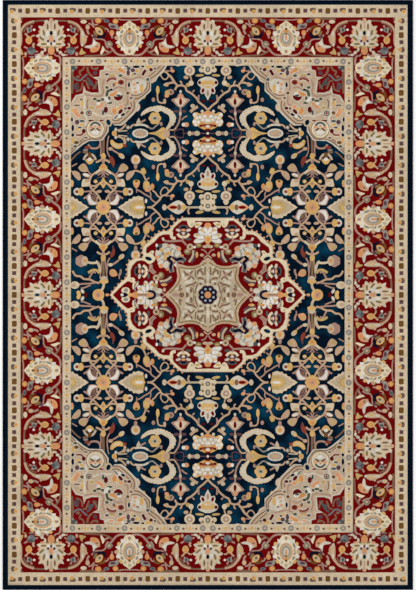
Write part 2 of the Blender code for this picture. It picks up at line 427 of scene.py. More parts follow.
def spindle():
    """The flower on the cross line, its tip at +X."""
    m = [("ivory", smooth(both_sides(82, 0, 90, 12, 102, 22, 116, 27, 130, 22, 146, 12, 160, 0)))]
    m += discs("gold", (95, 0, 12, 12), "brown", (112, 0, 8, 12), "peach", (138, 0, 21, 10),
               "red", (134, 0, 15, 6), "beige", (169, 0, 9, 12))
    return place(m, 0, CROSS)


def spade():
    """The ground of the spade flower."""
    half = both_sides(28, 0, 20, 14, 7, 26, -4, 37, -9, 30, -13, 16, -26, 9, -32, 0)
    return swap([("pink", half)], 106, 503)


def cross_quadrant():
    """Left of the tree line and above the cross line."""
    # lattice of stems
    m = stems("tan", (8, 407, 489, 384, 479, 363, 466, 354, 446, 354, 428, 364, 410, 382, 393, 395, 372,
        399, 358), (7, 356, 426, 374, 424, 390, 432, 402, 436),
        "pink", (7, 362, 409, 355, 394, 344, 384, 330, 375), (6, 386, 466, 397, 474, 407, 482),
        "tan", (6, 362, 406, 378, 418, 392, 434), (6, 390, 384, 382, 372, 383, 358),
        "plum", (5, 382, 454, 396, 460, 407, 462), "pink", (5, 400, 458, 407, 476, 409, 480),
        "cream", (10, 376, 473, 388, 482, 396, 489))
    m += discs("tan", (391, 403, 11, 6, 5), "gold", (377, 442, 8, 7.5), "cream", (377, 442, 4))
    # comma leaf
    m += blobs("pink", (340, 380, 352, 396, 362, 398, 379, 386, 383, 368, 385, 353, 368, 349, 352, 351, 346,
        364), "white", (346, 382, 355, 390, 360, 374, 370, 363, 383, 357, 372, 352, 357, 353, 349, 366),
        "plum", (360, 394, 374, 388, 380, 374, 375, 364, 364, 372, 358, 386))
    m += discs("brown", (370, 376, 6, 11, 25))
    # flowers to the side
    m += blobs("cream", (322, 423, 327, 449, 338, 451, 352, 450, 353, 426, 338, 422),
        "tan", (310, 496, 324, 510, 337, 509, 349, 487, 342, 479, 320, 482),
        (285, 478, 299, 483, 315, 473, 319, 453, 311, 446, 295, 460))
    m += discs("tan", (345, 445, 9, 7), (342, 466, 17, 8, -18), "white", (340, 467, 12, 5, -18),
        "mustard", (325, 496, 8, 8), "ivory", (305, 402, 14, 15), "rust", (304, 402, 7, 6))
    m += stems("pink", (5, 363, 466, 352, 476, 346, 486), (6, 330, 402, 346, 403, 364, 406))
    m += discs("gold", (320, 402, 11, 16))
    return m


def near_cross():
    """What stands above the cross line near the palmette, mirrored below it."""
    m = stems("tan", (7, 152, 402, 162, 391, 178, 385, 188, 370, 200, 358, 216, 344, 236, 341),
        (5, 153, 396, 156, 412, 168, 419, 178, 412, 184, 398, 180, 386),
        (6, 184, 379, 196, 386, 204, 398, 216, 408),
        "pink", (6, 202, 359, 216, 368, 228, 382, 246, 392, 262, 403, 277, 409),
        (5, 223, 377, 222, 392, 226, 402), (5, 148, 386, 156, 386, 164, 384))
    m += discs("pink", (241, 366, 6, 9), "white", (240, 365, 3.5, 8), "peach", (138, 385, 9, 7, -20),
        "pink", (142, 375, 5, 6))
    # the bell flower
    m += blobs("mustard", (226, 424, 229, 439, 240, 445, 250, 438, 252, 420, 246, 409, 232, 409))
    m += discs("gold", (238, 428, 11, 12), "orange", (216, 422, 8, 12), "tan", (226, 416, 9, 10),
        "peach", (234, 408, 11, 7))
    m += place(tulip_bud(), 278, 434)
    m += stems("pink", (4, 278, 416, 277, 398))
    # its branch up to the ring bud
    m += stems("tan", (7, 241, 444, 247, 460, 256, 474, 276, 483, 292, 482),
        "pink", (6, 228, 457, 236, 450, 244, 448), (5, 509, 512, 516, 508, 530, 500),
        (5, 524, 478, 534, 484))
    m += blobs("mustard", (240, 480, 248, 495, 260, 490, 260, 478, 250, 469, 241, 473))
    m += discs("gold", (250, 482, 6, 8), (529, 435, 7, 13), "peach", (529, 428, 6, 8))
    m += place(ring_bud(), 281, 526)
    return m


def tree():
    """Below the cross, on the tree line."""
    m = stems("pink", (5, 401, 140, 396, 100, 392, 64, 389, 54), (5, 413, 140, 416, 100, 420, 64),
        "brown", (10, 407, 200, 407, 140, 406, 80, 406, 40), "olive", (5, 408, 140, 408, 80),
        "beige", (10, 405, 44, 407, 30, 414, 18))
    m += discs("beige", (405, 62, 14, 12), "gold", (405, 52, 18, 9), (407, 144, 10, 13),
        "pink", (407, 164, 6, 8))
    m += stems("tan", (8, 382, 168, 392, 160, 404, 157), (8, 432, 168, 422, 161, 410, 157))
    # left of it
    m += blobs("rust", (369, 186, 373, 172, 380, 158, 379, 145, 370, 148, 362, 160, 362, 176),
        "peach", (352, 76, 356, 90, 366, 100, 380, 97, 383, 82, 372, 71))
    m += discs("plum", (369, 186, 4, 7), "beige", (336, 149, 13, 9, -40), "gold", (342, 143, 6, 7))
    m += stems("pink", (6, 382, 144, 390, 128, 392, 108, 394, 86),
        (8, 346, 136, 360, 125, 376, 117, 388, 119), (8, 339, 100, 340, 86, 346, 74), (5, 346, 74, 344, 62))
    m += discs("cream", (379, 117, 9, 7), "mustard", (372, 88, 7))
    # right of it
    m += stems("beige", (11, 420, 86, 422, 110, 430, 126, 436, 129),
        "cream", (9, 430, 126, 450, 124, 472, 128), "mustard", (10, 422, 84, 434, 96, 450, 96, 466, 86),
        "pink", (7, 436, 86, 448, 88, 458, 72, 464, 58),
        "tan", (8, 422, 46, 440, 50, 460, 60, 482, 62, 496, 72, 512, 74, 522, 84, 526, 94),
        "pink", (7, 434, 48, 460, 44, 486, 43, 504, 41), (6, 456, 38, 476, 30, 488, 26, 494, 28))
    m += rosette("pink", 493, 132, 24, 6, 0.1)
    m += discs("beige", (479, 132, 13, 19), "orange", (479, 133, 8, 7), "cream", (518, 38, 18, 15),
        "tan", (522, 38, 8), "gold", (426, 2, 23, 21), (503, 6, 8, 12, -20), "peach", (427, 2, 13),
        "pink", (427, 2, 6), "ivory", (488, 14, 6, 10, -30), "maroon", (476, 4, 8, 6))
    return m


def vine():
    """The vine from the Y axis to the palmette, above the cross line and left of it."""
    m = stems("tan", (8, 0, 538, 17, 521, 36, 506, 43, 493, 63, 474, 82, 463, 87, 449, 102, 442, 120, 446,
        128, 460), (8, 119, 444, 128, 432, 144, 432, 156, 436), (9, 128, 433, 136, 420, 144, 408, 152, 402),
        (6, 102, 441, 103, 430, 109, 425), "pink", (7, 36, 504, 36, 486, 33, 480), (6, 52, 460, 60, 469))
    # spade flower
    m += spade()
    m += blobs("cream", (106, 526, 120, 514, 130, 498, 116, 492, 106, 474, 96, 492, 82, 498, 92, 514))
    m += discs("peach", (106, 485, 8, 9), "maroon", (106, 508, 6, 11), "red", (106, 501, 5, 8),
        "ivory", (106, 466, 5, 6))
    # bud pair
    m += discs("pink", (145, 468, 14, 12), "brown", (144, 469, 6), "mustard", (158, 472, 10, 12),
        "peach", (160, 483, 9, 7))
    m += blobs("tan", (154, 431, 154, 445, 164, 446, 174, 440, 164, 432))
    # twig
    m += discs("tan", (168, 504, 6, 11))
    m += stems("tan", (6, 169, 509, 182, 510, 193, 504, 196, 488, 197, 476))
    m += discs("gold", (195, 460, 7, 17), "pink", (212, 498, 7, 9))
    # bud, leaf and ring flower
    m += discs("mustard", (77, 440, 9, 8), "cream", (65, 433, 10, 11), "tan", (85, 411, 10, 7, -10))
    m += stems("tan", (6, 64, 424, 66, 412, 70, 402), "sand", (8, 32, 341, 60, 341, 84, 341),
        "tan", (7, 70, 340, 77, 328, 72, 314))
    m += discs("cream", (71, 385, 21, 20), "tan", (71, 384, 13), "pink", (71, 384, 10),
        "ivory", (71, 384, 5))
    m += blobs("cream", (60, 366, 82, 366, 76, 352, 66, 352))
    # on the Y axis
    m += blobs("ivory", (-5, 500, 9, 484, 14, 473, 25, 476, 30, 464, 27, 451, 39, 439, 39, 426, 26, 415, -5,
        414), "gold", (-5, 454, 14, 448, 26, 440, 22, 424, -5, 426))
    m += discs("cream", (8, 442, 8, 5), (24, 382, 11, 10), (24, 340, 11, 10), (0, 386, 17, 14),
        (6, 362, 23, 24), (0, 338, 19, 13), "red", (19, 462, 5.5, 9.5, -18), "maroon", (32, 431, 6, 7),
        "pink", (0, 472, 5, 12), "mustard", (32, 403, 17, 5, 4), (32, 322, 17, 6, -10),
        "olive", (20, 374, 5, 5), (20, 349, 5, 5), "slate", (1, 380, 8, 11), (1, 346, 8, 9),
        "sand", (1, 380, 4, 7), (1, 346, 4, 5))
    return m


# ---- cloud band ----
def cloudband():
    """Above the band line."""
    m = blobs("cream", (156, 644, 136, 664, 125, 682, 125, 696, 142, 717, 154, 725, 166, 725, 176, 734, 192,
        737, 208, 733, 228, 731, 244, 722, 258, 708, 260, 697, 248, 703, 230, 712, 212, 716, 198, 710, 182,
        716, 168, 708, 152, 698, 149, 680, 156, 662, 164, 648))
    m += beads("cream", 7, 12, pairs(138, 666, 130, 686, 139, 708, 162, 723, 188, 731, 216, 727, 242, 716,
        254, 703))
    m += blobs("ivory", (132, 684, 136, 700, 160, 716, 184, 728, 216, 725, 242, 715, 214, 721, 184, 722,
        156, 710, 142, 690, 142, 670))
    m += rosette("gold", 206, 688, 25, 6, 0.14, 30)
    m += discs("sand", (206, 688, 15, 11), "slate", (206, 688, 6, 5))
    m += stems("grey", (6, 180, 671, 192, 666, 204, 656, 214, 648, 224, 649, 236, 657),
        "ivory", (8, 232, 654, 246, 661, 264, 663, 284, 661), "tan", (7, 282, 663, 294, 660, 302, 649))
    m += discs("pink", (181, 665, 5, 8), "peach", (84, 663, 11, 9.5), "white", (95, 663, 7, 7.5))
    m += facets("beige", (269, 690, 262, 676, 262, 664, 279, 664, 277, 676))
    m += stems("pink", (7, 242, 682, 254, 676, 264, 668),
        (7, 126, 648, 115, 666, 109, 686, 107, 704, 106, 734), (6, 80, 697, 92, 691, 102, 681),
        "plum", (5, 94, 644, 112, 645, 126, 638, 132, 629), (4, 96, 644, 94, 636, 97, 629),
        "tan", (6, 124, 650, 134, 642, 150, 644), (12, 39, 733, 53, 726, 68, 712))
    m += discs("beige", (107, 706, 6, 8), (59, 736, 9, 8), "plum", (93, 715, 10, 6), (122, 715, 11, 6),
        "ivory", (22, 715, 6, 6), "maroon", (16, 755, 9, 4))
    # the big flower beside the Y axis
    m += blobs("gold", (-5, 714, 14, 712, 30, 706, 46, 712, 59, 702, 54, 688, 60, 674, 54, 659, 38, 656, 24,
        648, -5, 643))
    m += discs("sand", (18, 686, 30, 18), "peach", (4, 706, 16, 8), "orange", (0, 711, 10, 5),
        (24, 668, 10, 6), "white", (51, 702, 7.5), (43, 689, 6.5), (52, 675, 7.5), (30, 692, 6),
        (12, 695, 7), (20, 682, 6), (4, 680, 7), (37, 673, 7), (46, 662, 6), "rust", (12, 660, 16, 6),
        "maroon", (28, 658, 6, 5), "orange", (6, 651, 12, 5), "white", (2, 656, 6, 4.5),
        "maroon", (3, 642, 9, 5))
    return m


def on_line():
    m = stems("plum", (5, 0, BAND, 40, BAND, 94, BAND))
    m += discs("sand", (42, BAND, 12, 10), "pink", (58, BAND, 7, 7), "beige", (71, BAND, 8, 10),
        "white", (0, BAND, 5, 5))
    m += blobs("tan", (150, 640, 166, 645, 180, 636, 180, 622, 166, 613, 150, 618))
    m += spear()
    m += blobs("mustard", (176, 638, 200, 634, 215, 629, 200, 624, 176, 620, 182, 629))
    m += discs("ivory", (263, BAND, 32, 19), "grey", (263, BAND, 24, 12.5), "tan", (263, BAND, 20, 10))
    return m


def band_tip():
    """The ring and stems right of the band, above its line."""
    m = discs("grey", (311, 652, 8, 8), "ivory", (310, 652, 4, 4))
    m += stems("tan", (7, 319, 666, 326, 656, 338, 645, 352, 641),
        "sand", (5, 314, 640, 332, 638, 350, 637))
    m += discs("grey", (358, 644, 7, 8), "white", (358, 644, 3.5, 4.5))
    return m


def right_of_band():
    m = flip(band_tip(), y=BAND)
    m += stems("plum", (6, 306, 629, 316, 629), "tan", (9, 327, 614, 324, 600, 324, 586))
    m += discs("gold", (364, 629, 10, 11), "orange", (364, 629, 5, 6), "rust", (325, 581, 9, 7),
        "beige", (336, 541, 14, 9, 40), "gold", (341, 545, 7, 7))
    m += blobs("gold", (332, 590, 348, 589, 362, 595, 372, 604, 380, 599, 375, 582, 360, 571, 342, 569, 331,
        577), "cream", (340, 582, 356, 583, 370, 594, 366, 584, 352, 575),
        "rust", (382, 540, 372, 538, 364, 526, 362, 508, 369, 498, 376, 510, 384, 526))
    m += stems("pink", (7, 346, 549, 360, 558, 374, 566, 386, 569),
        (5, 382, 538, 390, 554, 392, 574, 389, 606, 385, 620), (5, 418, 540, 416, 570, 420, 604),
        "brown", (10, 407, 510, 407, 560, 406, 614))
    m += discs("tan", (379, 569, 9, 7), "plum", (368, 502, 4, 7), "gold", (407, 540, 10, 13),
        "pink", (407, 518, 6, 7))
    m += stems("tan", (8, 382, 515, 392, 523, 404, 526), (8, 436, 517, 426, 520, 412, 528))
    m += flip(stems("beige", (8, 466, 549, 477, 540, 484, 526)), x=460)
    m += flip(stems("plum", (4, 464, 544, 473, 534, 474, 526)), x=460)
    m += discs("umber", (460, 544, 8, 12))
    m += blobs("gold", (443, 526, 460, 530, 477, 526, 469, 512, 460, 508, 451, 512))
    m += discs("white", (460, 528, 8, 7))
    # loop under the corner piece
    m += stems("pink", (8, 420, 606, 419, 586, 430, 572, 454, 572, 466, 586),
        "brown", (6, 496, 558, 514, 544, 534, 522))
    m += discs("rust", (469, 574, 12, 6), "grey", (476, 564, 10, 4), "brown", (477, 556, 11, 6))
    return m


def field_marks():
    """Everything in the field up to the band line, once or on both sides of the cross line."""
    flames = place(flame(), 247, CROSS)
    return flip(near_cross(), y=CROSS) + flip(flames, x=TREE) + tree() + cross() + vine() + spindle()


def spear():
    """The pointed gold leaf on the band line."""
    edge = pairs(163, 14, 169, 22, 178, 23, 188, 16, 200, 8, 216, 4, 234, 1)
    above = [(x, BAND + y) for x, y in edge]
    below = [(x, BAND - y) for x, y in edge[::-1]]
    return [("gold", smooth(above + below + pairs(170, 618, 174, 629, 170, 640)))]


def band_marks():
    """The cloud band and what stands on its line."""
    return flip(cloudband(), y=BAND) + on_line() + right_of_band()


# ---- corner ----
FIELD = (533, 893)
CORNER_PIECE = pairs(
    158, 893, 174, 866, 194, 848, 202, 832, 221, 826, 221, 794, 250, 768, 273, 746, 278, 714, 319, 672,
    336, 659, 364, 660, 386, 682, 386, 636, 410, 601, 462, 599, 484, 586, 533, 546)
CORNER_STAR = pairs(
    403, 893, 405, 878, 421, 874, 422, 850, 450, 848, 429, 836, 424, 788, 453, 788, 474, 795, 483, 816,
    487, 784, 515, 778, 533, 749)


def corner_ground():
    return [("ivory", CORNER_PIECE + [FIELD]), ("fawn", beside(CORNER_PIECE, 5.5) + [FIELD])]


def star_ground():
    return [("ivory", beside(CORNER_STAR, -6) + [FIELD]), ("crimson", CORNER_STAR + [FIELD])]


def outline():
    """The corner piece's ground with the dark lines along its edge and its light stems."""
    m = corner_ground()
    m += stems("brown", (4.5, 162, 900, 194, 863, 227, 837, 228, 802, 263, 769, 286, 763),
        (4, 182, 896, 206, 870, 232, 848), (4.5, 288, 756, 289, 722, 329, 680, 350, 667, 384, 668),
        (4, 300, 750, 299, 728, 336, 690, 354, 678, 372, 682),
        (4.5, 394, 690, 395, 640, 415, 611, 432, 606, 464, 606, 492, 591, 533, 552),
        (4, 406, 646, 422, 620, 438, 614, 462, 615), (4, 482, 609, 504, 590, 533, 564),
        (4, 237, 836, 238, 806, 265, 780, 298, 778), (4, 465, 762, 471, 748, 468, 726),
        "ivory", (7, 372, 696, 392, 700, 410, 694, 436, 704, 450, 710),
        (8, 479, 776, 480, 740, 479, 706, 472, 688, 476, 660), (7, 362, 890, 382, 876, 400, 882),
        "pink", (6, 318, 846, 319, 798, 312, 778, 314, 742, 336, 740),
        (5, 332, 804, 344, 810, 362, 804, 368, 790),
        (6, 402, 840, 410, 816, 406, 788, 420, 774, 456, 776, 480, 782),
        (5, 258, 850, 286, 842, 310, 839, 330, 846, 346, 868))
    m += blobs("ivory", (242, 832, 242, 809, 266, 784, 294, 784, 300, 808, 292, 834, 268, 842))
    return m


def contents():
    """The small flowers, buds and leaves that fill the corner piece."""
    m = discs("slate", (234, 839, 7, 6.5), (308, 882, 8, 7), "gold", (258, 804, 7.5, 17), (232, 887, 13, 8),
        (276, 873, 9, 7.5), "white", (272, 808, 6, 13), (332, 885, 5, 4), (344, 784, 7, 4),
        "peach", (287, 820, 6, 7), (282, 789, 8, 5), (326, 867, 8, 7), (358, 824, 8, 8), (376, 880, 9, 4),
        "brown", (274, 826, 5, 4), (299, 767, 6.5, 5.5), (206, 881, 6, 5), (366, 818, 6, 8),
        "tan", (285, 804, 4, 5), "ink", (307, 818, 4.5, 10.5), (253, 890, 6, 4.5), (279, 888, 14, 5),
        (316, 891, 7, 3.5), (376, 799, 7, 4.5), "umber", (312, 786, 7, 6.5), "maroon", (221, 877, 7.5, 7),
        "plum", (292, 875, 9, 8), (285, 861, 6, 4), (310, 865, 7, 12), (393, 859, 7.5, 5),
        "gold", (295, 855, 7, 6), (355, 890, 9, 4), "orange", (341, 876, 13, 8, 20),
        "moss", (340, 854, 8, 6), (393, 808, 7, 6), "rust", (338, 828, 12.5, 11),
        "maroon", (338, 828, 6, 5), "mustard", (373, 854, 14, 7))
    m += stems("maroon", (11, 242, 876, 249, 866, 254, 855),
        "rust", (9, 356, 839, 370, 843, 384, 839, 394, 830), "pink", (6, 356, 846, 372, 849, 392, 842),
        "peach", (13, 411, 750, 415, 737, 434, 728), (17, 517, 724, 512, 708, 500, 694),
        "tan", (6, 360, 754, 361, 734, 386, 730), "slate", (5, 350, 700, 364, 686))
    m += blobs("moss", (376, 796, 390, 800, 398, 786, 398, 772, 388, 776, 386, 788),
        "orange", (352, 798, 360, 792, 374, 786, 384, 778, 372, 772, 360, 778, 354, 788),
        "maroon", (331, 778, 334, 764, 348, 756, 362, 762, 366, 774, 356, 772, 342, 774))
    m += discs("slate", (348, 777, 9, 4), "red", (351, 763, 9, 5), "moss", (384, 766, 6, 8),
        (382, 748, 11, 5), (410, 761, 6.5, 6), (425, 756, 10, 5), (440, 763, 7.5, 6), (516, 578, 8.5, 5),
        "white", (394, 761, 15, 6.5, 50), (426, 746, 7, 5), (344, 696, 6, 5), "mustard", (452, 729, 10, 7),
        "maroon", (397, 721, 8.5, 12.5), (340, 714, 12, 6.5, -50), (306, 727, 8, 6), (483, 638, 8, 9),
        (453, 678, 13, 4.5), "slate", (408, 710, 5, 10), (463, 707, 11.5, 11.5), (490, 677, 10, 5),
        (499, 652, 8, 4), "peach", (337, 733, 9.5, 8), "orange", (364, 715, 9, 14, -15),
        "gold", (350, 724, 8, 7), (490, 746, 6.5, 15), (527, 721, 5, 9), (491, 663, 9, 6.5),
        (509, 644, 9, 6.5), "brown", (321, 726, 6, 6), (493, 761, 7, 4), (510, 738, 13, 4),
        (475, 612, 8, 4), "ink", (330, 702, 9, 5, -30), (529, 683, 4, 9), (526, 650, 5.5, 13),
        (526, 623, 5.5, 7), "sand", (463, 707, 7.5, 7.5), "rust", (463, 708, 4.5, 5), (414, 679, 9, 4),
        "umber", (490, 709, 7.5, 7), (512, 593, 10, 7), "plum", (509, 673, 9, 10),
        "gold", (525, 603, 7, 13))
    m += stems("rust", (7, 485, 632, 494, 623, 512, 623))
    return m


def lobe_flower():
    """The small palmette in the corner piece's round lobe."""
    m = discs("brown", (438, 645, 37), "bone", (438, 645, 34.5), "fawn", (438, 645, 28),
        "ivory", (438, 644, 24.5), "orange", (438, 656, 5, 4.5), "white", (438, 634, 14, 8))
    m += stems("slate", (8, 419, 659, 428, 668, 438, 671, 448, 668, 457, 659))
    m += flip(discs("peach", (455, 652, 8, 5)) + stems("umber", (7, 443, 650, 449, 644, 458, 640)), x=438)
    m += discs("sand", (438, 644, 4, 5), "beige", (387, 673, 16, 19), "navy", (387, 672, 8, 11.5, -20))
    return m


def corner_star():
    """The red quarter star in the corner, with its arabesques."""
    m = star_ground()
    m += discs("plum", (439, 864, 9, 8))
    m += stems("brown", (7, 426, 886, 444, 880, 456, 890), (8, 469, 888, 467, 872, 459, 858, 448, 850),
        (7, 480, 890, 488, 876, 500, 870, 494, 854),
        "steel", (7, 470, 859, 484, 848, 496, 836, 512, 838, 524, 848),
        "slate", (9, 435, 803, 448, 818, 460, 836, 472, 845), "brown", (7, 434, 832, 436, 816, 448, 802),
        (7, 462, 802, 469, 818, 474, 832, 486, 834))
    m += discs("slate", (457, 825, 9, 10), (520, 885, 14, 10), "plum", (508, 808, 7, 15),
        "brown", (506, 849, 8, 6), (434, 880, 7, 5), "grey", (513, 887, 5, 4))
    m += stems("brown", (6, 488, 826, 494, 800, 514, 792), (8, 528, 870, 526, 846, 527, 814, 529, 784),
        "slate", (6, 504, 824, 516, 820, 518, 802))
    m += discs("grey", (526, 873, 5, 5))
    return m


def corner_marks():
    """The corner piece with its filling, its lobe and the red star."""
    return outline() + haloed(contents(), "ivory", 3.4) + lobe_flower() + corner_star()


# ---- borders ----
INNER_GUARD = (566, 926)
MAIN_BORDER = (729, 1081)
OUTER_GUARD = (778, 1130)
PILE_RIM = (790.85, 1140.85)
BEYOND = (800, 1150)      # marks at the rim run on past the pile
OVAL = 294.5              # the oval palmette's place along the side border
FAN = 589                 # the second fan palmette's place
END_OVAL = 305            # the oval palmette's place along the end border
END_DEPTH = 0.951         # the end border's width to the side border's


def fan_half():
    """The petals and leaves of the fan palmette for y > 0 (x across the border)."""
    m = discs("peach", (693, 26, 7, 6), (670, 43, 7, 5), (634, 45, 7, 6), (607, 34, 5, 8), (720, 0, 6, 8))
    m += facets("cream", (603, 0, 607, 20, 611, 36, 610, 46, 616, 54, 624, 49, 629, 41, 642, 46, 652, 58,
        659, 52, 662, 43, 676, 41, 684, 45, 694, 49, 693, 37, 690, 28, 705, 25, 715, 26, 719, 17, 713, 8,
        720, 4, 720, 0))
    m += discs("ivory", (644, 19, 15, 8, 20), (649, 32, 5, 10, -35), (713, 19, 4, 7), (689, 42, 6, 4, 30),
        (616, 48, 4, 6), (652, 52, 4, 5), "white", (662, 14, 11, 6), (622, 10, 7, 6),
        "olive", (619.5, 28, 4.5, 11.5), (666, 27.5, 13, 4.5, 14), (606, 15, 4.5, 7, 20),
        "brown", (691, 13.5, 13, 4), "plum", (631.5, 11.5, 6, 5))
    m += stems("olive", (8.5, 636, 27, 640, 34, 650, 44), "cream", (8, 589, 26, 598, 22, 605, 27),
        "pink", (6, 570, 32, 572, 18, 580, 12))
    m += discs("maroon", (596, 32, 5, 5), (584, 19, 5, 5), "ivory", (575, 46, 5, 8), (585, 34, 7, 6),
        "sand", (580, 39, 5, 5))
    return m


def fan():
    """The fan palmette, its foot at the inner guard."""
    m = flip(fan_half(), y=0)
    m += discs("peach", (593, 0, 18, 13), "orange", (590, 0, 13, 9), "peach", (592, 0, 6, 5),
        (643, 0, 14, 8.5), "mustard", (611, 0, 7, 5), "plum", (622, 0, 6.5, 4.5), "tan", (653, 0, 6, 6),
        (693, 0, 11, 3.5), (710, 0, 8, 4), "navy", (665, 0, 9.5, 6))
    return m


def beside_fan():
    """Gold bud, grey flower, grey bud, calyx, thick leaf and arch, for y > 0."""
    m = stems("brown", (7, 715, 18, 715, 46, 712, 70),
        "tan", (9, 713, 64, 706, 86, 694, 102, 674, 113, 650, 117), (8, 605, 65, 616, 68, 623, 63),
        "brown", (5, 706, 64, 700, 82, 686, 96, 668, 103), "pink", (7, 602, 89, 609, 102),
        (6, 590, 59, 587, 50))
    m += blobs("tan", (609, 117, 624, 130, 642, 134, 662, 127, 686, 114, 666, 110, 636, 109, 618, 111),
        "beige", (616, 117, 632, 126, 650, 126, 668, 118, 638, 113),
        "mustard", (576, 106, 578, 122, 584, 131, 592, 120, 604, 116, 592, 109),
        "gold", (619, 84, 626, 94, 638, 96, 649, 89, 652, 84, 649, 79, 638, 72, 626, 74))
    m += discs("ivory", (662, 118, 11, 4), (616, 117, 6, 4), "gold", (637, 121, 7, 5),
        "tan", (650, 130, 6, 8), "rust", (580, 100, 8, 5), "tan", (579, 96, 8, 5), "pink", (575, 57, 4, 6))
    m += rosette("steel", 591, 75, 16.5, 4, 0.1, 45)
    m += discs("slate", (600, 76, 6, 9), "grey", (585, 82, 5, 4), "orange", (635, 84, 11, 8),
        "mustard", (635, 84, 5, 4))
    m += stems("tan", (7, 650, 88, 657, 92, 663, 99), (6, 647, 76, 654, 69, 654, 60),
        "pink", (7, 686, 77, 696, 72))
    m += facets("grey", (663, 92, 670, 90, 682, 93, 688, 90, 685, 78, 678, 70, 670, 75))
    m += discs("slate", (677, 81, 7, 5), "white", (678, 64, 5, 5), "cream", (711, 122, 8, 12),
        "sand", (689, 137, 11, 8), "gold", (690, 138, 5, 4))
    m += stems("pink", (8, 660, 143, 670, 137, 681, 136), "brown", (8, 723, 108, 723, 144, 723, 204))
    return m


def middle():
    """Tulip, gold flower, buds and stems between the palmettes."""
    m = stems("brown", (7, 571, 124, 572, 160, 575, 196, 583, 218, 596, 232),
        "pink", (5, 609, 124, 606, 134), (8, 575, 286, 574, 262, 582, 244, 600, 230, 612, 218),
        (6, 602, 214, 616, 206, 632, 203, 640, 188, 642, 166, 658, 152))
    m += blobs("peach", (586, 150, 588, 170, 602, 182, 624, 183, 623, 170, 612, 162, 603, 147))
    m += discs("orange", (595, 162, 6, 10, -20), "tan", (618, 176, 6, 6), "brown", (609, 172, 3, 6))
    m += blobs("ivory", (624, 176, 632, 166, 644, 158, 626, 156, 616, 150, 612, 129, 605, 130, 602, 146,
        608, 160, 618, 168), "bone", (575, 188, 586, 196, 596, 202, 612, 194, 600, 190, 584, 185),
        "ink", (643, 174, 644, 199, 656, 206, 669, 208, 665, 200, 656, 192, 653, 172),
        "umber", (670, 204, 689, 203, 696, 186, 691, 178, 682, 196),
        "gold", (656, 190, 666, 195, 680, 190, 688, 178, 687, 166, 676, 166, 668, 169, 660, 176),
        "sand", (660, 188, 674, 188, 683, 172, 670, 172, 662, 180),
        "grey", (684, 224, 682, 242, 674, 250, 686, 254, 700, 248, 702, 232, 706, 218, 696, 216))
    m += discs("white", (622, 162, 7, 6), "plum", (650, 162, 10, 5), (691, 232, 6, 10),
        "olive", (662, 166, 13, 5, -30), "brown", (670, 182, 6, 5), "orange", (715, 177, 11, 12),
        (713, 242, 11, 11), (666, 228, 11, 9), "gold", (715, 178, 5, 5), (714, 242, 5, 5),
        "steel", (714, 208, 7, 11), "slate", (714, 207, 4, 5), "peach", (659, 228, 8, 6))
    m += stems("pink", (7, 586, 218, 590, 209, 596, 200), (7, 688, 162, 700, 152, 704, 140),
        (6, 700, 176, 700, 160, 718, 154), (6, 669, 216, 680, 212, 684, 202), (5, 722, 252, 718, 270),
        (7, 643, 230, 655, 228), (5, 719, 260, 718, 284, 719, OVAL))
    m += rosette("grey", 619, 218, 13.5, 4, 0.14, 45)
    m += rosette("olive", 619, 218, 10, 4, 0.14, 45)
    m += discs("sand", (619, 218, 5.5, 5.5))
    return m


def oval_half():
    """The petals of the oval palmette for y < 0."""
    m = discs("gold", (613, -40, 9, 7), (684, -32, 10, 7, 30), "tan", (645, -46, 9, 11))
    m += facets("bone", (573, 0, 578, -16, 593, -24, 592, -33, 604, -31, 614, -36, 625, -52, 635, -44, 646,
        -39, 653, -46, 670, -50, 673, -36, 686, -26, 698, -24, 706, -13, 717, 0))
    m += discs("grey", (619, -30, 12, 4.5, -20), (670, -28, 8, 5, 30), (652, -32, 7, 4, 50),
        (604, -22, 5, 4), "white", (601, -27, 8, 6), (627, -44, 5, 9, -25), (664, -43, 9, 6, 40),
        (604, -13, 5, 9), "sand", (639, -32, 9, 5), (689, -16, 8, 5, -20))
    return m


def oval_flower():
    """The oval palmette, round y = 0."""
    m = flip(oval_half(), y=0)
    m += discs("orange", (644, 0, 37, 25), "tan", (643, 0, 35, 23), "sand", (644, 0, 29, 19),
        (700, 0, 9, 6), "grey", (644, 0, 24, 16), "ivory", (645, 0, 18, 11), "peach", (648, 0, 13, 4.5),
        "olive", (662, 0, 5, 5), "orange", (671, 0, 5, 7), "umber", (681, 0, 5.5, 5),
        "pink", (589, 0, 8, 6))
    return m


def oval():
    return place(oval_flower(), 0, OVAL)


def to_end(marks):
    """Marks of the side border, carried to the end border."""
    along = END_OVAL / OVAL
    side, end = INNER_GUARD
    return [(c, [(y * along, end + (x - side) * END_DEPTH) for x, y in points]) for c, points in marks]


def band_base(colour, x, y):
    """The ground yarn from a band's inner edge outwards."""
    return facets(colour, (x, 0, BEYOND[0], 0, *BEYOND, 0, BEYOND[1], 0, y, x, y))


def main_border():
    """Fan and oval palmettes by turns, with the same stretch of vine between each two."""
    stretch = beside_fan() + middle()
    vines = stretch + mirror(stretch, y=OVAL) + fan() + oval()
    far_fan = mirror(fan(), y=OVAL)
    m = band_base("red", *INNER_GUARD) + vines
    m += mirror(stretch, y=FAN) + mirror(mirror(stretch, y=OVAL), y=FAN) + far_fan + mirror(oval(), y=FAN)
    m += facets("red", (566, 929, BEYOND[0], 929, *BEYOND, 0, BEYOND[1], 0, 926, *INNER_GUARD))
    return m + mirror(oval(), y=FAN) + to_end(vines + place(beside_fan(), 0, FAN) + far_fan)


